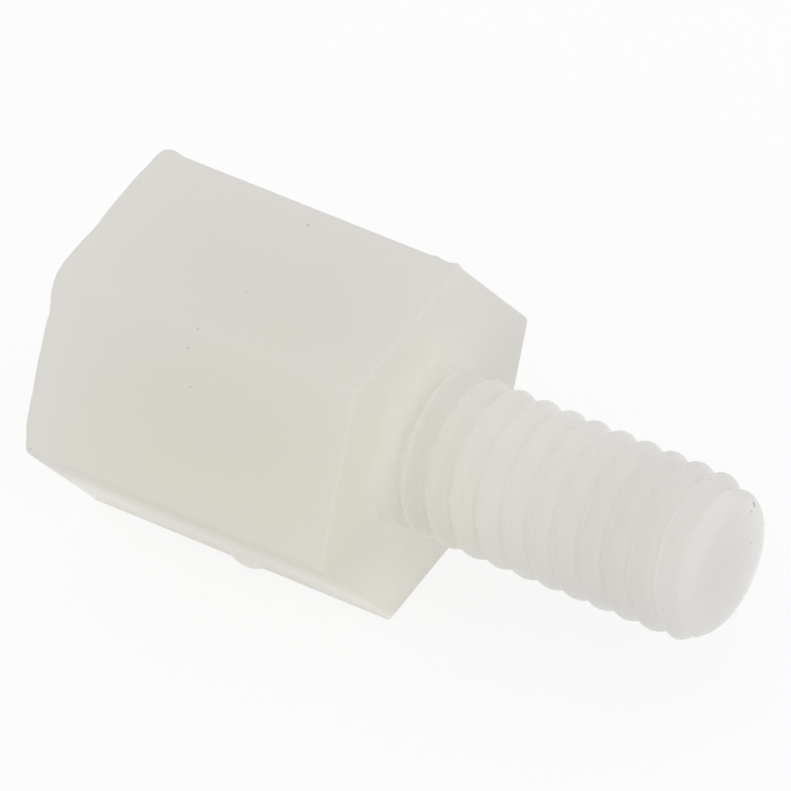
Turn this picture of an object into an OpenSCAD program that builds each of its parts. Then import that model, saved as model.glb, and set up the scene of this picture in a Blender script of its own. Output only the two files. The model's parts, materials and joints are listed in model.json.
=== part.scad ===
// Hexagonal standoff with a threaded stud at one end and a tapped hole at the other.
// It is moulded in natural nylon as one piece, and lies on one of its flats.
// The origin is the centre of the shoulder that the stud stands on. The axis runs along X,
// with the stud towards +X, and +Z is square to the upper flat. All sizes are in millimetres.
// The threads are drawn as plain cylinders: the stud at the thread's outside diameter,
// and the hole at the diameter inside its thread.

/* [Thread] */
// Nominal diameter of the thread, for the stud and for the hole
thread_size = 3; // [2:0.1:4]
// Pitch of the thread
thread_pitch = 0.5; // [0.35:0.05:0.7]
// How much smaller than nominal the moulded stud measures across its crests
stud_undersize = 0.1; // [0:0.02:0.2]

/* [Body] */
// Width across the flats of the hexagon
across_flats = 5.6; // [4.6:0.1:10]
// Length of the hexagonal body, from the open end to the shoulder
body_length = 6; // [4:0.5:40]
// Radius of the six long edges
long_edge_radius = 0.12; // [0.05:0.01:0.4]
// Radius of the edges round each end
end_edge_radius = 0.06; // [0.04:0.01:0.3]

/* [Stud] */
// Length of the stud, from the shoulder to the tip
stud_length = 6; // [3:0.5:20]
// Length of the rounded lead at the tip
lead_length = 0.9; // [0.6:0.05:1.1]
// Radius of the long curve of the lead
lead_radius = 1.5; // [1.2:0.1:3]
// Radius where the lead turns into the flat tip
tip_radius = 0.25; // [0.1:0.05:0.4]
// Radius of the fillet between the stud and the shoulder
root_fillet = 0.1; // [0.05:0.01:0.25]

/* [Tapped hole] */
// Solid wall left between the floor of the hole and the shoulder
web_thickness = 1; // [0.5:0.1:3]
// Width of the chamfer round the mouth of the hole
mouth_chamfer = 0.35; // [0.1:0.05:0.6]
// Radius between the wall of the hole and its floor
floor_radius = 0.2; // [0.05:0.05:0.5]

/* [Moulding marks] */
// Distance of the sheared gate from the shoulder
gate_distance = 2.95; // [0.5:0.05:30]
// Width of the stub left by the gate
gate_width = 0.62; // [0.3:0.02:1]
// Height of the stub above its flat
gate_height = 0.1; // [0.04:0.01:0.2]
// Distance of the beads of flash from each end of the upper rear edge
flash_inset = 0.2; // [0.2:0.05:1]
// Radius of the beads of flash
flash_radius = 0.16; // [0.1:0.01:0.2]
// Height of the beads of flash above the edge
flash_height = 0.04; // [0.02:0.01:0.08]

/* [Hidden] */
$fn = 96;

// Threads
stud_radius = (thread_size - stud_undersize) / 2;
hole_radius = (thread_size - thread_pitch) / 2;

// Body
inner_side = (across_flats - 2 * long_edge_radius) / sqrt(3);
across_corners = across_flats / cos(30);
flat_turns = [0, 60, 120];

// Lead: a long arc that leaves the stud smoothly, then a small arc that runs into the flat tip
lead_start = stud_length - lead_length;
lead_centre_r = stud_radius - lead_radius;
lead_run = lead_length - tip_radius;
lead_angle = asin(lead_run / (lead_radius - tip_radius));
lead_end = lead_start + lead_radius * sin(lead_angle);
tip_centre_x = stud_length - tip_radius;
tip_centre_r = lead_centre_r + (lead_radius - tip_radius) * cos(lead_angle);

// Hole
hole_depth = body_length - web_thickness;
mouth_radius = hole_radius + mouth_chamfer;

// Gate: the cap of a ball, as wide and as high as given, on the front lower flat
gate_ball = ((gate_width / 2) ^ 2 + gate_height ^ 2) / (2 * gate_height);
gate_turn = 120;

// Flash: round beads sunk into the upper rear edge
flash_turn = 60;
edge_reach = inner_side + long_edge_radius;
flash_reach = edge_reach + flash_height - flash_radius;

// How far cutting shapes run past what they cut
overrun = 1;

// Puts a drawing made in the Y and Z directions upright, and extrudes it towards +X
module along_axis(length) {
    rotate([90, 0, 90])
        linear_extrude(length)
            children();
}

// Hexagon with a flat at the top and bottom and rounded corners
module rounded_hexagon() {
    for (turn = flat_turns)
        rotate(turn)
            square([inner_side, across_flats], center = true);
    for (corner = [0:5])
        rotate(60 * corner)
            translate([inner_side, 0])
                circle(long_edge_radius);
}

// Side view of the body between two opposite flats, with rounded ends
module end_profile() {
    height = across_flats;
    inset = end_edge_radius;
    translate([-body_length, inset - height / 2])
        square([body_length, height - 2 * inset]);
    translate([inset - body_length, -height / 2])
        square([body_length - 2 * inset, height]);
    for (x = [inset - body_length, -inset], z = [inset - height / 2, height / 2 - inset])
        translate([x, z])
            circle(inset);
}

// One pair of flats with the rounded end edges that belong to it
module slab() {
    rotate([90, 0, 0])
        linear_extrude(across_corners + overrun, center = true)
            end_profile();
}

// Three slabs cross in the hexagon, and the rounded prism takes off its long edges
module hex_body() {
    intersection() {
        translate([-body_length - overrun, 0, 0])
            along_axis(body_length + 2 * overrun)
                rounded_hexagon();
        intersection_for(turn = flat_turns)
            rotate([turn, 0, 0])
                slab();
    }
}

// Half section of the stud: radius to the right, length upwards
module stud_profile() {
    translate([0, -overrun / 2])
        square([stud_radius, lead_start + overrun / 2]);
    intersection() {
        translate([lead_centre_r, lead_start])
            circle(lead_radius);
        translate([0, lead_start])
            square([stud_radius + overrun, lead_end - lead_start]);
    }
    translate([tip_centre_r, tip_centre_x])
        circle(tip_radius);
    square([tip_centre_r, stud_length]);
    root_fillet_profile();
}

// Quarter-round that fills the corner between the stud and the shoulder
module root_fillet_profile() {
    reach = stud_radius + root_fillet;
    difference() {
        translate([0, -overrun / 2])
            square([reach, root_fillet + overrun / 2]);
        translate([reach, root_fillet])
            circle(root_fillet);
    }
}

module stud() {
    rotate([0, 90, 0])
        rotate_extrude()
            stud_profile();
}

// Half section of the blind hole: radius to the right, length upwards from the open end
module hole_profile() {
    square([hole_radius, hole_depth - floor_radius]);
    square([hole_radius - floor_radius, hole_depth]);
    translate([hole_radius - floor_radius, hole_depth - floor_radius])
        circle(floor_radius);
    polygon([
        [0, -overrun],
        [mouth_radius + overrun, -overrun],
        [hole_radius, mouth_chamfer],
        [0, mouth_chamfer]
    ]);
}

module tapped_hole() {
    translate([-body_length, 0, 0])
        rotate([0, 90, 0])
            rotate_extrude()
                hole_profile();
}

// Stub of the gate, low on its flat and clear of the surface that the part lies on
module gate_stub() {
    below_middle = inner_side / 2 - gate_width / 2;
    intersection() {
        rotate([gate_turn, 0, 0])
            translate([-gate_distance, -below_middle, across_flats / 2 + gate_height - gate_ball])
                sphere(gate_ball);
        translate([-body_length, -across_corners, -across_flats / 2])
            cube([body_length, 2 * across_corners, across_flats]);
    }
}

// Beads of flash on the parting line, near both ends of the upper rear edge
module flash_beads() {
    rotate([flash_turn, 0, 0])
        for (x = [flash_inset - body_length, -flash_inset])
            translate([x, flash_reach, 0])
                sphere(flash_radius);
}

module standoff() {
    color("ivory")
        difference() {
            union() {
                hex_body();
                stud();
                gate_stub();
                flash_beads();
            }
            tapped_hole();
        }
}

standoff();
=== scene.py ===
"""Hex standoff moulded in natural nylon: its threads, its moulding marks, its finish and its stage.

The part is modelled in millimetres and brought to metres at the end. The axis runs along X,
with the origin in the middle of the shoulder and the stud towards +X.
"""

import json
import math
from types import SimpleNamespace

import bmesh
import bpy
from bpy.props import FloatProperty, FloatVectorProperty, PointerProperty
from mathutils import Matrix, Vector, noise


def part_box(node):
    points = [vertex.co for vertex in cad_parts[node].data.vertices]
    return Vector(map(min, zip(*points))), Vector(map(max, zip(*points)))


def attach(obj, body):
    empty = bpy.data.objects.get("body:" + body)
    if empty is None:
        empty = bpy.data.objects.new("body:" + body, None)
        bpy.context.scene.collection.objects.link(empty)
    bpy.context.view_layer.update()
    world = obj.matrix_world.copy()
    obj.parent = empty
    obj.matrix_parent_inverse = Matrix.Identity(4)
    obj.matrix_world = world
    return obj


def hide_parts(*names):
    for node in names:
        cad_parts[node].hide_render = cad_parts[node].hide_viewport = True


bl_info = {
    "name": "Moulded hex standoff",
    "version": (1, 0, 0),
    "blender": (4, 5, 0),
    "location": "3D View > Sidebar > Standoff",
    "description": "Models a nylon hex standoff with real threads, and sets it on a pale stage",
    "category": "Add Mesh",
}

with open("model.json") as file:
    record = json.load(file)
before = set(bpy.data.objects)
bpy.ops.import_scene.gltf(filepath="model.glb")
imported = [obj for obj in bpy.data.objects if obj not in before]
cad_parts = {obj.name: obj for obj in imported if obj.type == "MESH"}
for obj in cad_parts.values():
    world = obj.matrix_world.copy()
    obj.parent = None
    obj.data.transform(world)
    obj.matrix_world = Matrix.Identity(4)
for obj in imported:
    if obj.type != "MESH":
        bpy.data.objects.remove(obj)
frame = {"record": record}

NODE = "standoff"
BODY = "root"

MM = 0.001
LOW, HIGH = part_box(NODE)
MOUNTS = {mount["name"]: mount for mount in frame["record"]["mounts"]}

# How finely the shapes are divided
TURN_STEPS = 96
CREST_STEPS = 6
ROOT_STEPS = 4
CORNER_STEPS = 5
END_STEPS = 4
TIP_STEPS = 6
FLOOR_STEPS = 4
FLAT_CUTS = 49
LENGTH_CUTS = 119

# Edges that turn by more than this are shaded sharp
SHARP_ANGLE = math.radians(40)

# Distances in millimetres below which two points, or two rings, are in the same place
SAME_POINT = 0.0002
SAME_RING = 0.12

# Scale of the first ring inside each end edge, and of each ring on the way to a closed middle
EDGE_MARGIN = 0.985
CLOSING_SCALES = (0.7, 0.6, 0.5)

# Angle between the flanks of the threads and the axis
FLANK_TILT = math.radians(60)

# Half of the angle that a flat of the hexagon spans about the axis
HALF_FLAT = math.radians(30)

# The two edges of the hexagon that the mould parts along, as turns about the axis from +Y
UPPER_PARTING = math.radians(60)
LOWER_PARTING = math.radians(240)

# How far the ridge at a parting edge and the sink in a flat spread, and the distance from each end over
# which the sink sets in, in millimetres
PARTING_REACH = 0.09
SINK_REACH = 0.2
SINK_FADE = 1.0

# Beads of flash on the upper parting line of the body: distance behind the shoulder and reach of each
# one in millimetres, and its share of the full height
BEADS = ((0.07, 0.12, 1.0), (0.48, 0.09, 0.75), (5.75, 0.16, 1.1))

# Dips in the rim of the open end: turn about the axis in degrees, reach in millimetres, and depth where
# 1 takes the rim back to the end face
DIPS = (
    (0, 0.2, 1.5),
    (33, 0.3, 0.9),
    (60, 0.1, 1.9),
    (66, 0.25, 0.45),
    (98, 0.3, 0.9),
    (120, 0.15, 1.2),
    (132, 0.22, 1.4),
    (180, 0.25, 2.7),
    (222, 0.3, 0.8),
    (300, 0.15, 1.5),
    (330, 0.25, 1.0),
)

# The lump where the stud's thread runs out: turn about the axis, and distance from the shoulder and reach
# in millimetres
LUMP_TURN = math.radians(216)
LUMP_X = 5.82
LUMP_REACH = 0.36

# The rim's small unevenness: its changes per millimetre, its share, and the noise at which it is full
RIM_RATE = 2.0
RIM_NOISE = 0.4
RIM_NOISE_FULL = 0.5

# The place that the deeper tint centres on, and how far from it that tint holds and ends, in millimetres
DEEP_MIDDLE = (-1.3, -2.2, -0.9)
DEEP_REACH = (3.6, 6.0)

# Size of the soft patches that bend the edge of the deeper tint, and how far they move it, in millimetres
DRIFT_SIZE = 1.6
DRIFT_WIDTH = 2.0

# Distances from the shoulder in millimetres: where the stud's own colour sets in, and where its own glow
# is full
THIN_START = 0.3
FULL_GLOW = 0.6

# Painted light in the places that other surfaces, the floor among them, shut in: a lighter colour there
# lifts the shade that falls in them. How far off those surfaces count in millimetres, how many rays look
# for them, and the openness at which the painted light sets in and is full
SHUT_IN_REACH = 2.5
SHUT_IN_SAMPLES = 8
PAINTED_LIGHT_RANGE = (0.97, 0.4)

# The painted light in the hollows is weaker on the stud: the distances from the shoulder in millimetres
# between which it weakens, and the share that is left
WEAKER_RANGE = (0.1, 0.9)
WEAKER_SHARE = 0.23

# Fine grain of the satin skin: size in millimetres, detail, strength, and height in millimetres
GRAIN_SIZE = 0.12
GRAIN_DETAIL = 3.0
GRAIN_STRENGTH = 0.4
GRAIN_HEIGHT = 0.01

# Patches of roughness: their size in millimetres, and how far they go to either side of the middle
SATIN_SIZE = 0.5
SATIN_SPREAD = 0.08

# How strongly the skin reflects, where 0.5 is usual for plastic
SPECULAR_LEVEL = 0.3

# Width of the camera's sensor in millimetres, and how many times nearer and farther than the part it sees
SENSOR_WIDTH = 36
VIEW_RANGE = 100

# Specks of burnt plastic in the skin: the place and the radius of each one in millimetres, and how dark
# it is
SPECKS = (
    ((-2.8, 1.25, 2.8), 0.03, 0.32),
    ((-2.9, -0.5, 2.79), 0.03, 0.18),
    ((-3.2, -1.38, 2.8), 0.025, 0.15),
    ((-3.15, -1.59, 2.79), 0.03, 0.28),
    ((-3.25, -1.8, 2.48), 0.03, 0.28),
    ((-3.08, -2.12, 1.92), 0.03, 0.26),
    ((-4.1, -1.99, 2.15), 0.02, 0.15),
    ((-1.97, -2.19, 1.79), 0.02, 0.15),
    ((-2.89, -3.09, -0.25), 0.025, 0.25),
    ((-3.77, -2.14, -1.87), 0.03, 0.22),
    ((-5.84, -3.2, 0.06), 0.03, 0.25),
    ((3.5, 0.16, 1.41), 0.025, 0.12),
    ((5.31, -0.94, 0.83), 0.025, 0.2),
    ((5.41, 0.58, 1.3), 0.03, 0.25),
    ((6.0, 0.42, 0.87), 0.03, 0.28),
    ((6.0, 0.67, -0.05), 0.028, 0.45),
    ((6.0, -0.07, -0.74), 0.028, 0.15),
    ((6.0, -0.53, -0.51), 0.025, 0.12),
    ((5.98, 0.93, 0.66), 0.038, 1.0),
    ((5.99, 0.92, 0.61), 0.034, 0.8),
    ((6.0, 0.8, 0.59), 0.03, 0.6),
    ((5.99, 1.05, 0.04), 0.03, 0.3),
)


# ---------------------------------------------------------------- sizes and colours


class BodySizes(bpy.types.PropertyGroup):
    """Sizes of the hexagonal body."""

    across_flats: FloatProperty(
        name="Across flats",
        description="Width of the hexagon between two opposite flats",
        default=-2 * LOW.z,
        min=0.004,
        unit="LENGTH",
        precision=5,
    )
    length: FloatProperty(
        name="Body length",
        description="Length of the hexagonal body, from the open end to the shoulder",
        default=-LOW.x,
        min=0.004,
        unit="LENGTH",
        precision=5,
    )
    long_edge_radius: FloatProperty(
        name="Long edge radius",
        description="Radius of the six edges that run along the body",
        default=0.12 * MM,
        min=0.02 * MM,
        unit="LENGTH",
        precision=5,
    )
    end_edge_radius: FloatProperty(
        name="End edge radius",
        description="Radius of the edges round each end of the body",
        default=0.06 * MM,
        min=0.02 * MM,
        unit="LENGTH",
        precision=5,
    )
    sink_depth: FloatProperty(
        name="Sink depth",
        description="How far each flat sinks in its middle, as moulded nylon does",
        default=0.012 * MM,
        min=0.0,
        unit="LENGTH",
        precision=6,
    )
    rim_height: FloatProperty(
        name="Rim height",
        description="Height of the uneven rim of flash round the open end",
        default=0.03 * MM,
        min=0.0,
        unit="LENGTH",
        precision=6,
    )
    parting_height: FloatProperty(
        name="Parting height",
        description="Height of the fine ridge where the two halves of the mould met",
        default=0.01 * MM,
        min=0.0,
        unit="LENGTH",
        precision=6,
    )
    flash_height: FloatProperty(
        name="Flash height",
        description="Height of the beads of flash on the upper parting line",
        default=0.055 * MM,
        min=0.0,
        unit="LENGTH",
        precision=6,
    )
    gate_height: FloatProperty(
        name="Gate height",
        description="Height of the stub that the gate left beside the lower parting line",
        default=0.12 * MM,
        min=0.0,
        unit="LENGTH",
        precision=6,
    )
    gate_width: FloatProperty(
        name="Gate width",
        description="Width of the stub that the gate left",
        default=0.7 * MM,
        min=0.1 * MM,
        unit="LENGTH",
        precision=5,
    )
    gate_distance: FloatProperty(
        name="Gate distance",
        description="Distance from the shoulder to the middle of the gate",
        default=2.7 * MM,
        min=0.0,
        unit="LENGTH",
        precision=5,
    )


class StudSizes(bpy.types.PropertyGroup):
    """Sizes of the threaded stud."""

    diameter: FloatProperty(
        name="Diameter",
        description="Diameter of the stud over the crests of its thread",
        default=2 * MOUNTS["stud"]["dims"]["r_mm"] * MM,
        min=0.001,
        unit="LENGTH",
        precision=5,
    )
    length: FloatProperty(
        name="Length",
        description="Length of the stud, from the shoulder to the tip",
        default=HIGH.x,
        min=0.002,
        unit="LENGTH",
        precision=5,
    )
    pitch: FloatProperty(
        name="Pitch",
        description="Distance from one crest of the thread to the next",
        default=0.5 * MM,
        min=0.2 * MM,
        unit="LENGTH",
        precision=5,
    )
    crest_radius: FloatProperty(
        name="Crest radius",
        description="Radius of the rounded crests of the thread",
        default=0.13 * MM,
        min=0.01 * MM,
        unit="LENGTH",
        precision=5,
    )
    groove_radius: FloatProperty(
        name="Groove radius",
        description="Radius of the rounded bottom of the grooves",
        default=0.075 * MM,
        min=0.01 * MM,
        unit="LENGTH",
        precision=5,
    )
    first_crest: FloatProperty(
        name="First crest",
        description="Distance from the shoulder to the first crest, on the +Y side",
        default=0.3 * MM,
        min=0.0,
        unit="LENGTH",
        precision=5,
    )
    lead_length: FloatProperty(
        name="Lead length",
        description="Length of the rounded lead at the tip",
        default=0.9 * MM,
        min=0.3 * MM,
        unit="LENGTH",
        precision=5,
    )
    lead_radius: FloatProperty(
        name="Lead radius",
        description="Radius of the long curve of the lead",
        default=1.5 * MM,
        min=1.0 * MM,
        unit="LENGTH",
        precision=5,
    )
    tip_radius: FloatProperty(
        name="Tip radius",
        description="Radius where the lead turns into the flat tip",
        default=0.25 * MM,
        min=0.05 * MM,
        unit="LENGTH",
        precision=5,
    )
    root_fillet: FloatProperty(
        name="Root fillet",
        description="Radius of the fillet between the stud and the shoulder",
        default=0.1 * MM,
        min=0.02 * MM,
        unit="LENGTH",
        precision=5,
    )
    parting_height: FloatProperty(
        name="Parting height",
        description="Height of the fine ridge along both sides of the stud",
        default=0.012 * MM,
        min=0.0,
        unit="LENGTH",
        precision=6,
    )
    lump_height: FloatProperty(
        name="Lump height",
        description="Height of the lump of flash where the thread runs out",
        default=0.1 * MM,
        min=0.0,
        unit="LENGTH",
        precision=6,
    )


class HoleSizes(bpy.types.PropertyGroup):
    """Sizes of the tapped hole."""

    diameter: FloatProperty(
        name="Diameter",
        description="Diameter of the hole inside the crests of its thread",
        default=2 * MOUNTS["tapped_hole"]["dims"]["r_mm"] * MM,
        min=0.001,
        unit="LENGTH",
        precision=5,
    )
    web: FloatProperty(
        name="Web",
        description="Solid wall between the floor of the hole and the shoulder",
        default=1.0 * MM,
        min=0.2 * MM,
        unit="LENGTH",
        precision=5,
    )
    mouth_chamfer: FloatProperty(
        name="Mouth chamfer",
        description="Width of the chamfer round the mouth of the hole",
        default=0.35 * MM,
        min=0.05 * MM,
        unit="LENGTH",
        precision=5,
    )
    floor_radius: FloatProperty(
        name="Floor radius",
        description="Radius between the wall of the hole and its floor",
        default=0.2 * MM,
        min=0.05 * MM,
        unit="LENGTH",
        precision=5,
    )
    crest_radius: FloatProperty(
        name="Crest radius",
        description="Radius of the crests of the thread in the hole",
        default=0.08 * MM,
        min=0.01 * MM,
        unit="LENGTH",
        precision=5,
    )
    groove_radius: FloatProperty(
        name="Groove radius",
        description="Radius of the rounded bottom of the grooves in the hole",
        default=0.07 * MM,
        min=0.01 * MM,
        unit="LENGTH",
        precision=5,
    )
    plain_end: FloatProperty(
        name="Plain end",
        description="Length at the floor of the hole that the thread doesn't reach",
        default=0.5 * MM,
        min=0.0,
        unit="LENGTH",
        precision=5,
    )


class NylonFinish(bpy.types.PropertyGroup):
    """Colours and surface of the moulded nylon, with the painted light of its hollows."""

    thin: FloatVectorProperty(
        name="Thin",
        description="Colour of the nylon at the tip of the stud, which it nears from the shoulder on",
        default=(0.537, 0.52, 0.492),
        size=3,
        min=0.0,
        max=1.0,
        subtype="COLOR",
    )
    milky: FloatVectorProperty(
        name="Milky",
        description="Colour of the nylon in the outer parts of the body",
        default=(0.70, 0.68, 0.64),
        size=3,
        min=0.0,
        max=1.0,
        subtype="COLOR",
    )
    deep: FloatVectorProperty(
        name="Deep",
        description="Colour of the nylon where it is thickest",
        default=(0.70, 0.675, 0.59),
        size=3,
        min=0.0,
        max=1.0,
        subtype="COLOR",
    )
    # Painted light: a lighter colour laid in the hole, the grooves, round the root of the stud and near
    # the floor, to lift the shade that falls there
    painted_hollow_light: FloatVectorProperty(
        name="Hollow",
        description="Colour of the hole and other places shut in, where light inside the nylon gathers",
        default=(0.91, 0.895, 0.832),
        size=3,
        min=0.0,
        max=1.0,
        subtype="COLOR",
    )
    speck: FloatVectorProperty(
        name="Speck",
        description="Colour of the specks of burnt plastic",
        default=(0.1, 0.09, 0.07),
        size=3,
        min=0.0,
        max=1.0,
        subtype="COLOR",
    )
    body_glow: FloatProperty(
        name="Body glow",
        description="Share of the light that spreads inside the thick body, where it is 1 in the stud",
        default=0.12,
        min=0.0,
        max=1.0,
        subtype="FACTOR",
    )
    glow_reach: FloatProperty(
        name="Glow reach",
        description="How far light spreads inside the nylon",
        default=8.0 * MM,
        min=0.0,
        unit="LENGTH",
        precision=5,
    )
    roughness: FloatProperty(
        name="Roughness",
        description="Middle roughness of the satin surface",
        default=0.5,
        min=0.0,
        max=1.0,
        subtype="FACTOR",
    )


class StageSettings(bpy.types.PropertyGroup):
    """Camera, lamp, surround and floor."""

    azimuth: FloatProperty(
        name="Azimuth",
        description="Direction of view: 0 looks along +Y, 90 looks along -X",
        default=math.radians(39.15),
        subtype="ANGLE",
    )
    elevation: FloatProperty(
        name="Elevation",
        description="Height of the camera above the horizon",
        default=math.radians(46.57),
        subtype="ANGLE",
    )
    roll: FloatProperty(
        name="Roll",
        description="How far the upright leans to the left in the view",
        default=math.radians(8.64),
        subtype="ANGLE",
    )
    distance: FloatProperty(
        name="Distance",
        description="Distance from the camera to the middle of the view",
        default=0.2675,
        min=0.01,
        unit="LENGTH",
        precision=4,
    )
    lens: FloatProperty(
        name="Lens",
        description="Focal length of the camera in millimetres, on a sensor 36 mm wide",
        default=729.7,
        min=20.0,
        max=2000.0,
    )
    middle: FloatVectorProperty(
        name="Middle of the view",
        description="The point that the camera looks at",
        default=(-0.694 * MM, 0.263 * MM, 0.608 * MM),
        size=3,
        unit="LENGTH",
        precision=6,
    )
    lamp_direction: FloatVectorProperty(
        name="Lamp direction",
        description="Direction from the part towards the lamp",
        default=(1.0, -0.26, 0.0),
        size=3,
        subtype="XYZ",
    )
    lamp_distance: FloatProperty(
        name="Lamp distance",
        description="Distance from the part to the lamp",
        default=0.4,
        min=0.05,
        unit="LENGTH",
    )
    lamp_size: FloatProperty(
        name="Lamp size",
        description="Width of the square lamp",
        default=0.4,
        min=0.01,
        unit="LENGTH",
    )
    lamp_power: FloatProperty(
        name="Lamp power",
        description="Power of the lamp",
        default=0.36,
        min=0.0,
        unit="POWER",
    )
    surround: FloatProperty(
        name="Surround",
        description="Strength of the even light from all round",
        default=0.94,
        min=0.0,
    )
    floor_size: FloatProperty(
        name="Floor size",
        description="Width of the floor",
        default=0.8,
        min=0.05,
        unit="LENGTH",
    )
    floor_colour: FloatVectorProperty(
        name="Floor colour",
        description="Colour of the floor where its shadow shows",
        default=(0.95, 0.95, 0.95),
        size=3,
        min=0.0,
        max=1.0,
        subtype="COLOR",
    )
    floor_shade: FloatProperty(
        name="Floor shade",
        description="How strongly the floor shows the part's shadow",
        default=0.2,
        min=0.0,
        max=1.0,
        subtype="FACTOR",
    )


def in_mm(group):
    """The lengths of a property group, in millimetres."""
    return SimpleNamespace(**{name: getattr(group, name) / MM for name in group.__annotations__})


# ---------------------------------------------------------------- rings and tubes


def ring_at(bm, x):
    """The open edges that lie near the plane at x."""
    return [
        edge
        for edge in bm.edges
        if edge.is_boundary and all(abs(vert.co.x - x) < SAME_RING for vert in edge.verts)
    ]


def carry_ring(bm, x, new_x, scale):
    """Extrudes the open ring at x to new_x, and scales it about the axis."""
    made = bmesh.ops.extrude_edge_only(bm, edges=ring_at(bm, x))["geom"]
    verts = [item for item in made if isinstance(item, bmesh.types.BMVert)]
    bmesh.ops.scale(bm, vec=(1, scale, scale), verts=verts)
    for vert in verts:
        vert.co.x = new_x


def close_ring(bm, x):
    """Closes the open ring at x with rings of quads and one small face in the middle."""
    for scale in CLOSING_SCALES:
        carry_ring(bm, x, x, scale)
    bmesh.ops.holes_fill(bm, edges=ring_at(bm, x))


def clean_cut(bm, x, side):
    """Cuts everything off that lies before x, or beyond it where side is -1."""
    bmesh.ops.bisect_plane(
        bm,
        geom=bm.verts[:] + bm.edges[:] + bm.faces[:],
        dist=SAME_POINT,
        plane_co=(x, 0, 0),
        plane_no=(side, 0, 0),
        clear_inner=True,
    )


def thread_depth(pitch, crest_radius, groove_radius):
    """Depth of a 60 degree thread with rounded crests and grooves."""
    return pitch * math.sin(FLANK_TILT) - crest_radius - groove_radius


def one_turn(pitch, crest_radius, groove_radius):
    """Section of one turn, from crest to crest: distance along, and depth below the crest."""
    depth = thread_depth(pitch, crest_radius, groove_radius)
    points = []
    for step in range(CREST_STEPS // 2 + 1):
        tilt = FLANK_TILT * 2 * step / CREST_STEPS
        points.append((crest_radius * math.sin(tilt), crest_radius * (1 - math.cos(tilt))))
    for step in range(ROOT_STEPS + 1):
        tilt = FLANK_TILT * (2 * step / ROOT_STEPS - 1)
        along = pitch / 2 + groove_radius * math.sin(tilt)
        points.append((along, depth - groove_radius * (1 - math.cos(tilt))))
    for step in range(CREST_STEPS // 2, 0, -1):
        tilt = FLANK_TILT * 2 * step / CREST_STEPS
        along = pitch - crest_radius * math.sin(tilt)
        points.append((along, crest_radius * (1 - math.cos(tilt))))
    return points


def thread_tube(turn, pitch, crest, outward, first_crest, start, end):
    """Open tube along X with a right-hand thread, cut square at both ends.

    crest is the radius of the crests. The grooves go inwards where outward is -1.
    """
    bm = bmesh.new()
    first = math.floor((start - first_crest) / pitch) - 1
    last = math.ceil((end - first_crest) / pitch) + 1
    line = [
        bm.verts.new((first_crest + count * pitch + along, crest + outward * depth, 0))
        for count in range(first, last)
        for along, depth in turn
    ]
    for near, far in zip(line, line[1:]):
        bm.edges.new((near, far))
    bmesh.ops.spin(
        bm,
        geom=bm.verts[:] + bm.edges[:],
        cent=(0, 0, 0),
        axis=(1, 0, 0),
        dvec=(pitch / TURN_STEPS, 0, 0),
        angle=math.tau,
        steps=TURN_STEPS,
    )
    bmesh.ops.remove_doubles(bm, verts=bm.verts[:], dist=SAME_POINT)
    clean_cut(bm, start, 1)
    clean_cut(bm, end, -1)
    return bm


def fit_thread(bm, crest, groove, outline, share):
    """Puts the crests of a thread on the outline, and lets its grooves run out where share falls to 0.

    crest and groove are the radii before, outline(x) is the new radius of the crests, and
    grooves keep their own radius where the outline comes nearer to it.
    """
    for vert in bm.verts:
        radius = math.hypot(vert.co.y, vert.co.z)
        limit = outline(vert.co.x)
        room = min(max((limit - groove) / (crest - groove), 0), 1)
        new_radius = limit + (radius - crest) * room * share(vert.co.x)
        vert.co.y *= new_radius / radius
        vert.co.z *= new_radius / radius


def ramp(value, start, end):
    """Smooth step from 0 at start to 1 at end."""
    part = min(max((value - start) / (end - start), 0), 1)
    return part * part * (3 - 2 * part)


def bell(distance, width):
    """Smooth bump: 1 at distance 0, and next to nothing at twice the width."""
    return math.exp(-((distance / width) ** 2))


def polar(turn, radius=1.0):
    """The point at a turn about the axis, and at a radius from it."""
    return Vector((0, math.cos(turn) * radius, math.sin(turn) * radius))


# ---------------------------------------------------------------- stud


def lead_shape(stud):
    """The two arcs of the lead: where the long one starts and ends, and their centres."""
    start = stud.length - stud.lead_length
    centre_r = stud.diameter / 2 - stud.lead_radius
    run = stud.lead_length - stud.tip_radius
    angle = math.asin(run / (stud.lead_radius - stud.tip_radius))
    return SimpleNamespace(
        start=start,
        centre_r=centre_r,
        end=start + stud.lead_radius * math.sin(angle),
        angle=angle,
        tip_x=stud.length - stud.tip_radius,
        tip_r=centre_r + (stud.lead_radius - stud.tip_radius) * math.cos(angle),
    )


def stud_outline(stud, lead, x):
    """Radius over the crests at x, with the fillet at the shoulder and the rounded lead."""
    if x < stud.root_fillet:
        rise = math.sqrt(max(stud.root_fillet**2 - (stud.root_fillet - x) ** 2, 0))
        return stud.diameter / 2 + stud.root_fillet - rise
    if x > lead.start:
        return lead.centre_r + math.sqrt(stud.lead_radius**2 - (x - lead.start) ** 2)
    return stud.diameter / 2


def threaded_stud(stud):
    """Stud with a right-hand thread, open at the shoulder and closed at its tip."""
    lead = lead_shape(stud)
    crest = stud.diameter / 2
    turn = one_turn(stud.pitch, stud.crest_radius, stud.groove_radius)
    depth = thread_depth(stud.pitch, stud.crest_radius, stud.groove_radius)
    bm = thread_tube(turn, stud.pitch, crest, -1, stud.first_crest, 0, lead.end)
    fit_thread(
        bm,
        crest,
        crest - depth,
        lambda x: stud_outline(stud, lead, x),
        lambda x: ramp(x, 0, stud.pitch / 2),
    )
    x, radius = lead.end, lead.tip_r + stud.tip_radius * math.cos(lead.angle)
    for step in range(1, TIP_STEPS + 1):
        tilt = lead.angle + (math.pi / 2 - lead.angle) * step / TIP_STEPS
        new_x = lead.tip_x + stud.tip_radius * math.sin(tilt)
        new_radius = lead.tip_r + stud.tip_radius * math.cos(tilt)
        carry_ring(bm, x, new_x, new_radius / radius)
        x, radius = new_x, new_radius
    close_ring(bm, x)
    part_stud(bm, stud)
    return bm


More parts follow.
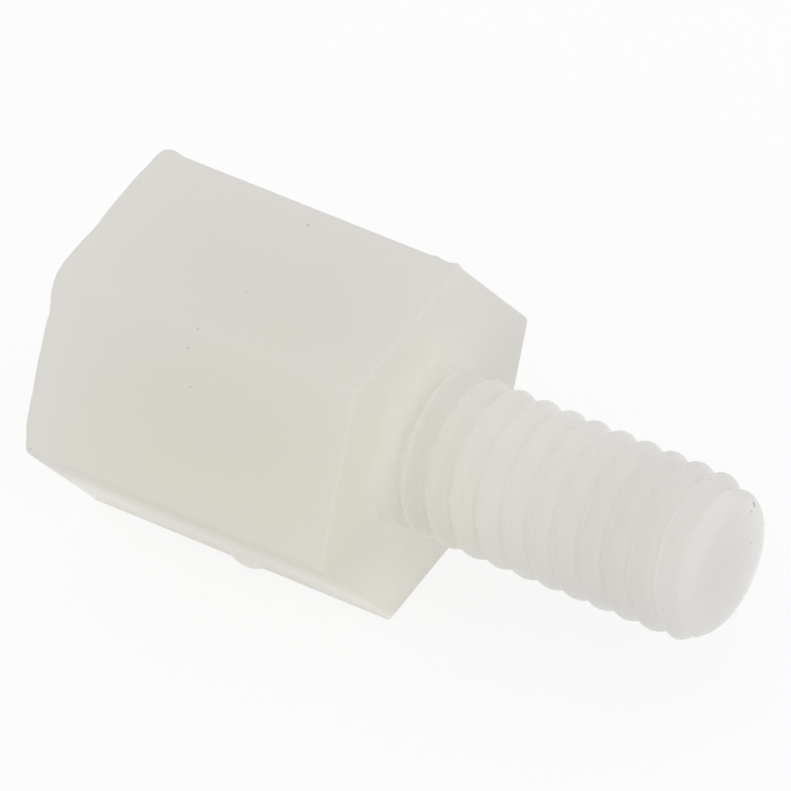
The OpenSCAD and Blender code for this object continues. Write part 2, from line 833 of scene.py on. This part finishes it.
def part_stud(bm, stud):
    """Raises the fine ridge of the parting line on both sides of the stud, and the lump near its tip.

    The middle of the tip is left alone.
    """
    lump = polar(LUMP_TURN, stud.diameter / 2)
    lump.x = LUMP_X
    for vert in bm.verts:
        radius = math.hypot(vert.co.y, vert.co.z)
        if radius < stud.diameter / 4:
            continue
        turn = math.atan2(vert.co.z, vert.co.y)
        gap = radius * math.sin(turn - UPPER_PARTING)
        new_radius = radius + stud.parting_height * bell(gap, PARTING_REACH)
        new_radius += stud.lump_height * bell((vert.co - lump).length, LUMP_REACH)
        vert.co.y *= new_radius / radius
        vert.co.z *= new_radius / radius


# ---------------------------------------------------------------- hole


def hole_outline(body, hole, x):
    """Radius inside the crests at x, with the chamfer at the mouth."""
    mouth = hole.diameter / 2 + hole.mouth_chamfer - (x + body.length)
    return max(hole.diameter / 2, mouth)


def threaded_hole(body, hole, pitch):
    """Wall and floor of the blind hole, open at the mouth."""
    crest = hole.diameter / 2
    turn = one_turn(pitch, hole.crest_radius, hole.groove_radius)
    depth = thread_depth(pitch, hole.crest_radius, hole.groove_radius)
    floor_x = -hole.web
    wall_end = floor_x - hole.floor_radius
    plain_start = floor_x - hole.plain_end
    bm = thread_tube(turn, pitch, crest, 1, 0, -body.length, wall_end)
    fit_thread(
        bm,
        crest,
        crest + depth,
        lambda x: hole_outline(body, hole, x),
        lambda x: ramp(x, plain_start, plain_start - pitch),
    )
    x, radius = wall_end, crest
    for step in range(1, FLOOR_STEPS + 1):
        tilt = math.pi / 2 * step / FLOOR_STEPS
        new_x = wall_end + hole.floor_radius * math.sin(tilt)
        new_radius = crest - hole.floor_radius * (1 - math.cos(tilt))
        carry_ring(bm, x, new_x, new_radius / radius)
        x, radius = new_x, new_radius
    close_ring(bm, x)
    return bm


# ---------------------------------------------------------------- body


def corner_radius(body):
    """Distance from the axis to the long edges of the hexagon, before they are rounded."""
    return body.across_flats / math.sqrt(3)


def hex_sleeve(body):
    """Rounded hexagonal prism along X, open in the middle of both ends."""
    bm = bmesh.new()
    upright = Matrix.Rotation(math.radians(90), 4, "Y")
    bmesh.ops.create_circle(
        bm,
        cap_ends=True,
        segments=6,
        radius=corner_radius(body),
        matrix=Matrix.Translation((-body.length, 0, 0)) @ upright,
    )
    bmesh.ops.bevel(
        bm,
        geom=bm.verts[:],
        affect="VERTICES",
        offset=body.long_edge_radius * math.tan(HALF_FLAT),
        segments=CORNER_STEPS,
        profile=0.5,
        material=-1,
    )
    flats = [edge for edge in bm.edges if edge.calc_length() > body.across_flats / 4]
    bmesh.ops.subdivide_edges(bm, edges=flats, cuts=FLAT_CUTS)
    made = bmesh.ops.extrude_face_region(bm, geom=bm.faces[:])["geom"]
    far_verts = [item for item in made if isinstance(item, bmesh.types.BMVert)]
    bmesh.ops.translate(bm, vec=(body.length, 0, 0), verts=far_verts)
    end_edges = [edge for edge in bm.edges if abs(edge.verts[0].co.x - edge.verts[1].co.x) < SAME_RING]
    bmesh.ops.bevel(
        bm,
        geom=end_edges,
        affect="EDGES",
        offset=body.end_edge_radius,
        segments=END_STEPS,
        profile=0.5,
        material=-1,
    )
    long_edges = [
        edge for edge in bm.edges if abs(edge.verts[0].co.x - edge.verts[1].co.x) > body.length / 2
    ]
    bmesh.ops.subdivide_edges(bm, edges=long_edges, cuts=LENGTH_CUTS, use_grid_fill=True)
    caps = [face for face in bm.faces if len(face.verts) > 4]
    bmesh.ops.delete(bm, geom=caps, context="FACES_ONLY")
    mould_marks(bm, body)
    for x in (-body.length, 0):
        carry_ring(bm, x, x, EDGE_MARGIN)
    return bm


def corner_gap(body, place, turn):
    """Distance from a place to the edge of the hexagon at a turn, before that edge is rounded."""
    corner = polar(turn, corner_radius(body))
    return math.hypot(place.y - corner.y, place.z - corner.z)


def flash_at(body, place):
    """Height of the flash at a place: a fine ridge on both parting lines, and beads on the upper one."""
    beads = max(share * bell(place.x + distance, reach) for distance, reach, share in BEADS)
    upper = bell(corner_gap(body, place, UPPER_PARTING), PARTING_REACH)
    lower = bell(corner_gap(body, place, LOWER_PARTING), PARTING_REACH)
    ridge = body.parting_height * max(upper, lower)
    return max(ridge, body.flash_height * upper * beads)


def gate_at(body, place):
    """Height of the gate's stub at a place, low on its flat."""
    corner = polar(LOWER_PARTING, corner_radius(body))
    rise = body.gate_width / 2 + body.long_edge_radius * math.tan(HALF_FLAT)
    middle = corner + polar(LOWER_PARTING - 4 * HALF_FLAT, rise)
    middle.x = -body.gate_distance
    gap = (place - middle).length / (body.gate_width / 2)
    return body.gate_height * max(1 - gap**2, 0)


def rim_at(place):
    """Height of the rim of flash beside a place, where 1 is its full height."""
    radius = math.hypot(place.y, place.z)
    side = Vector((0, place.y, place.z))
    dips = 0
    for turn, reach, depth in DIPS:
        gap = (side - polar(math.radians(turn), radius)).length
        dips += depth * bell(gap, reach)
    return 1 - dips - RIM_NOISE * ramp(noise.noise(place * RIM_RATE), 0, RIM_NOISE_FULL)


def mould_marks(bm, body):
    """Raises the flash, the gate's stub and the rim of the open end, and sinks the flats.

    Nothing stands proud of the flat that the part lies on.
    """
    gate_way = polar(LOWER_PARTING - HALF_FLAT)
    lowest = -body.across_flats / 2
    rim_reach = 2 * body.end_edge_radius
    for vert in bm.verts:
        place = vert.co.copy()
        radius = math.hypot(place.y, place.z)
        outward = Vector((0, place.y, place.z)) / radius
        sink = body.sink_depth * bell(radius - body.across_flats / 2, SINK_REACH)
        sink *= ramp(place.x, -body.length, -body.length + SINK_FADE) * ramp(-place.x, 0, SINK_FADE)
        rim = body.rim_height * rim_at(place) * bell(place.x + body.length, rim_reach)
        vert.co += outward * (flash_at(body, place) - sink) + gate_way * gate_at(body, place)
        vert.co.x -= rim
        vert.co.z = max(vert.co.z, lowest)


# ---------------------------------------------------------------- the whole part


def joined(parts):
    """One bmesh that holds all the parts."""
    whole = bmesh.new()
    for part in parts:
        mesh = bpy.data.meshes.new("part")
        part.to_mesh(mesh)
        part.free()
        whole.from_mesh(mesh)
        bpy.data.meshes.remove(mesh)
    return whole


def standoff_mesh(body, stud, hole):
    """The whole part as one closed mesh, in metres."""
    bm = joined([hex_sleeve(body), threaded_stud(stud), threaded_hole(body, hole, stud.pitch)])
    for x in (-body.length, 0):
        bmesh.ops.triangle_fill(bm, edges=ring_at(bm, x), use_beauty=True, normal=(1, 0, 0))
    bmesh.ops.recalc_face_normals(bm, faces=bm.faces[:])
    bmesh.ops.scale(bm, vec=(MM, MM, MM), verts=bm.verts[:])
    for face in bm.faces:
        face.smooth = True
    open_edges = [edge for edge in bm.edges if not edge.is_manifold]
    if open_edges:
        raise RuntimeError(f"the standoff isn't closed: {len(open_edges)} open edges")
    mesh = bpy.data.meshes.new("threaded_standoff")
    bm.to_mesh(mesh)
    bm.free()
    mesh.set_sharp_from_angle(angle=SHARP_ANGLE)
    return mesh


# ---------------------------------------------------------------- finishes


def add_node(tree, kind, settings=None, **inputs):
    """A node with its settings made, and each input set to a value or linked to a socket.

    An input goes by its name, with _ for each space, or by _ and its number.
    """
    node = tree.nodes.new(kind)
    for name, value in (settings or {}).items():
        setattr(node, name, value)
    for name, value in inputs.items():
        socket = node.inputs[int(name[1:])] if name[0] == "_" else node.inputs[name.replace("_", " ")]
        if isinstance(value, bpy.types.NodeSocket):
            tree.links.new(value, socket)
        else:
            socket.default_value = value
    return node


def new_material(name):
    """A material with an empty node tree, and that tree."""
    material = bpy.data.materials.new(name)
    material.use_nodes = True
    material.node_tree.nodes.clear()
    return material, material.node_tree


def calc(tree, operation, first, second):
    """Result of an operation on two numbers or sockets."""
    node = add_node(tree, "ShaderNodeMath", {"operation": operation}, _0=first, _1=second)
    return node.outputs["Value"]


def fade(tree, value, start, end):
    """Smooth fade from 0 where value is start to 1 where it is end."""
    smooth = {"interpolation_type": "SMOOTHSTEP"}
    node = add_node(tree, "ShaderNodeMapRange", smooth, Value=value, From_Min=start, From_Max=end)
    return node.outputs["Result"]


def between(tree, share, low, high):
    """Number that goes from low to high as the share goes from 0 to 1."""
    node = add_node(tree, "ShaderNodeMapRange", Value=share, To_Min=low, To_Max=high)
    return node.outputs["Result"]


def gap_to(tree, place, point):
    """Distance from the shaded place to a point given in millimetres."""
    distance = {"operation": "DISTANCE"}
    node = add_node(tree, "ShaderNodeVectorMath", distance, _0=place, _1=Vector(point) * MM)
    return node.outputs["Value"]


def blend(tree, share, first, second):
    """Colour that goes from the first to the second.

    The node's inputs 6 and 7 and its output 2 are the ones for colours.
    """
    node = add_node(tree, "ShaderNodeMix", {"data_type": "RGBA"}, _0=share, _6=first, _7=second)
    return node.outputs[2]


def cloud(tree, place, size, detail=2.0):
    """Soft noise with patches of a size in millimetres, about 0.5."""
    node = add_node(tree, "ShaderNodeTexNoise", Vector=place, Scale=1 / (size * MM), Detail=detail)
    return node.outputs["Fac"]


def speck_share(tree, place):
    """How dark the specks make a place, from 0 to 1."""
    share = 0.0
    for point, radius, darkness in SPECKS:
        dot = fade(tree, gap_to(tree, place, point), radius * MM, radius * MM / 2)
        share = calc(tree, "MAXIMUM", share, calc(tree, "MULTIPLY", dot, darkness))
    return share


def nylon_colour(tree, place, along, finish):
    """Milky nylon, deeper where it is thick, with painted light that lifts the shade in the hollows, and
    with specks.
    """
    drift = calc(tree, "MULTIPLY", cloud(tree, place, DRIFT_SIZE), DRIFT_WIDTH * MM)
    reach = calc(tree, "ADD", gap_to(tree, place, DEEP_MIDDLE), drift)
    thick = fade(tree, reach, DEEP_REACH[1] * MM, DEEP_REACH[0] * MM)
    colour = blend(tree, thick, (*finish.milky, 1), (*finish.deep, 1))
    colour = blend(tree, fade(tree, along, THIN_START * MM, HIGH.x), colour, (*finish.thin, 1))
    # Painted light: where other surfaces or the floor shut a place in, its colour goes towards a lighter
    # one, against the shade that falls there
    rays = {"samples": SHUT_IN_SAMPLES}
    around = add_node(tree, "ShaderNodeAmbientOcclusion", rays, Distance=SHUT_IN_REACH * MM)
    painted_light_mask = fade(tree, around.outputs["AO"], *PAINTED_LIGHT_RANGE)
    weaker = fade(tree, along, WEAKER_RANGE[0] * MM, WEAKER_RANGE[1] * MM)
    share = calc(tree, "MULTIPLY", painted_light_mask, between(tree, weaker, 1.0, WEAKER_SHARE))
    colour = blend(tree, share, colour, (*finish.painted_hollow_light, 1))
    return blend(tree, speck_share(tree, place), colour, (*finish.speck, 1))


def nylon_material(finish):
    """Milky translucent nylon with a satin skin."""
    material, tree = new_material("milky_nylon")
    place = add_node(tree, "ShaderNodeTexCoord").outputs["Object"]
    along = add_node(tree, "ShaderNodeSeparateXYZ", Vector=place).outputs["X"]
    glow = between(tree, fade(tree, along, 0.0, FULL_GLOW * MM), finish.body_glow, 1.0)
    grain = cloud(tree, place, GRAIN_SIZE, GRAIN_DETAIL)
    skin = add_node(
        tree, "ShaderNodeBump", Height=grain, Strength=GRAIN_STRENGTH, Distance=GRAIN_HEIGHT * MM
    )
    smoothest = finish.roughness - SATIN_SPREAD
    roughest = finish.roughness + SATIN_SPREAD
    shader = add_node(
        tree,
        "ShaderNodeBsdfPrincipled",
        Base_Color=nylon_colour(tree, place, along, finish),
        Roughness=between(tree, cloud(tree, place, SATIN_SIZE), smoothest, roughest),
        Normal=skin.outputs["Normal"],
        Subsurface_Scale=finish.glow_reach,
        Subsurface_Weight=glow,
        Subsurface_Radius=(1, 1, 1),
        Specular_IOR_Level=SPECULAR_LEVEL,
    )
    add_node(tree, "ShaderNodeOutputMaterial", Surface=shader.outputs["BSDF"])
    return material


def backdrop_share(tree):
    """1 for the rays that show the background: straight, in a reflection or through a clear part."""
    path = add_node(tree, "ShaderNodeLightPath").outputs
    mirrored = calc(tree, "MAXIMUM", path["Is Camera Ray"], path["Is Glossy Ray"])
    return calc(tree, "MAXIMUM", mirrored, path["Is Transmission Ray"])


def floor_material(settings):
    """White floor that shows a soft shadow."""
    material, tree = new_material("white_floor")
    shaded = add_node(tree, "ShaderNodeBsdfDiffuse", Color=(*settings.floor_colour, 1))
    white = add_node(tree, "ShaderNodeEmission")
    share = calc(tree, "MULTIPLY", backdrop_share(tree), 1 - settings.floor_shade)
    mix = add_node(
        tree, "ShaderNodeMixShader", _0=share, _1=shaded.outputs["BSDF"], _2=white.outputs["Emission"]
    )
    add_node(tree, "ShaderNodeOutputMaterial", Surface=mix.outputs["Shader"])
    return material


# ---------------------------------------------------------------- stage


def add_floor(settings):
    """Pale floor under the part."""
    bm = bmesh.new()
    place = Matrix.Translation((0, 0, LOW.z))
    bmesh.ops.create_grid(bm, x_segments=1, y_segments=1, size=settings.floor_size / 2, matrix=place)
    mesh = bpy.data.meshes.new("floor")
    bm.to_mesh(mesh)
    bm.free()
    floor = bpy.data.objects.new("floor", mesh)
    floor.data.materials.append(floor_material(settings))
    bpy.context.scene.collection.objects.link(floor)


def add_camera(settings):
    """Camera that looks down on the part, rolled a little."""
    data = bpy.data.cameras.new("camera")
    data.sensor_width = SENSOR_WIDTH
    data.lens = settings.lens
    data.clip_start = settings.distance / VIEW_RANGE
    data.clip_end = settings.distance * VIEW_RANGE
    level = math.cos(settings.elevation)
    back = Vector(
        (
            math.sin(settings.azimuth) * level,
            -math.cos(settings.azimuth) * level,
            math.sin(settings.elevation),
        )
    )
    roll = Matrix.Rotation(-settings.roll, 4, "Z")
    turn = (-back).to_track_quat("-Z", "Y").to_matrix().to_4x4() @ roll
    place = Matrix.Translation(Vector(settings.middle) + back * settings.distance)
    camera = bpy.data.objects.new("camera", data)
    camera.matrix_world = place @ turn
    bpy.context.scene.collection.objects.link(camera)
    bpy.context.scene.camera = camera


def add_world(settings):
    """Even white surround."""
    world = bpy.data.worlds.new("surround")
    bpy.context.scene.world = world
    world.use_nodes = True
    tree = world.node_tree
    tree.nodes.clear()
    strength = between(tree, backdrop_share(tree), settings.surround, 1.0)
    light = add_node(tree, "ShaderNodeBackground", Color=(1, 1, 1, 1), Strength=strength)
    add_node(tree, "ShaderNodeOutputWorld", Surface=light.outputs["Background"])


def add_lamp(settings):
    """Soft square lamp that shines at the part from one side."""
    data = bpy.data.lights.new("key_lamp", "AREA")
    data.size = settings.lamp_size
    data.energy = settings.lamp_power
    lamp = bpy.data.objects.new("key_lamp", data)
    towards = Vector(settings.lamp_direction).normalized()
    turn = (-towards).to_track_quat("-Z", "Y").to_matrix().to_4x4()
    lamp.matrix_world = Matrix.Translation(towards * settings.lamp_distance) @ turn
    bpy.context.scene.collection.objects.link(lamp)


# ---------------------------------------------------------------- operators and panel


class STANDOFF_OT_model(bpy.types.Operator):
    """Model the standoff with its threads and give it its nylon finish"""

    bl_idname = "standoff.model"
    bl_label = "Model Standoff"

    def execute(self, context):
        scene = context.scene
        mesh = standoff_mesh(
            in_mm(scene.standoff_body), in_mm(scene.standoff_stud), in_mm(scene.standoff_hole)
        )
        piece = bpy.data.objects.new("threaded_standoff", mesh)
        mesh.materials.append(nylon_material(scene.standoff_finish))
        scene.collection.objects.link(piece)
        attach(piece, BODY)
        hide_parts(NODE)
        return {"FINISHED"}


class STANDOFF_OT_stage(bpy.types.Operator):
    """Set the floor, the lamp, the surround and the camera"""

    bl_idname = "standoff.stage"
    bl_label = "Set Stage"

    def execute(self, context):
        settings = context.scene.standoff_stage
        context.scene.view_settings.view_transform = "Standard"
        add_floor(settings)
        add_world(settings)
        add_lamp(settings)
        add_camera(settings)
        return {"FINISHED"}


class STANDOFF_PT_sidebar(bpy.types.Panel):
    """Panel with the standoff's sizes and its two steps."""

    bl_label = "Hex Standoff"
    bl_idname = "STANDOFF_PT_sidebar"
    bl_space_type = "VIEW_3D"
    bl_region_type = "UI"
    bl_category = "Standoff"

    def draw(self, context):
        layout = self.layout
        for name in SETTINGS:
            group = getattr(context.scene, name)
            box = layout.box()
            box.label(text=type(group).__doc__)
            for setting in group.__annotations__:
                box.prop(group, setting)
        layout.operator(STANDOFF_OT_model.bl_idname)
        layout.operator(STANDOFF_OT_stage.bl_idname)


SETTINGS = {
    "standoff_body": BodySizes,
    "standoff_stud": StudSizes,
    "standoff_hole": HoleSizes,
    "standoff_finish": NylonFinish,
    "standoff_stage": StageSettings,
}
CLASSES = (*SETTINGS.values(), STANDOFF_OT_model, STANDOFF_OT_stage, STANDOFF_PT_sidebar)


def register():
    """Registers the classes and gives the scene its settings."""
    for cls in CLASSES:
        bpy.utils.register_class(cls)
    for name, cls in SETTINGS.items():
        setattr(bpy.types.Scene, name, PointerProperty(type=cls))


def unregister():
    """Takes the settings and the classes away again."""
    for name in SETTINGS:
        delattr(bpy.types.Scene, name)
    for cls in reversed(CLASSES):
        bpy.utils.unregister_class(cls)


def main():
    """Registers the settings, models the standoff and sets the stage."""
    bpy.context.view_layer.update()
    register()
    bpy.ops.standoff.model()
    bpy.ops.standoff.stage()


if __name__ == "__main__":
    main()
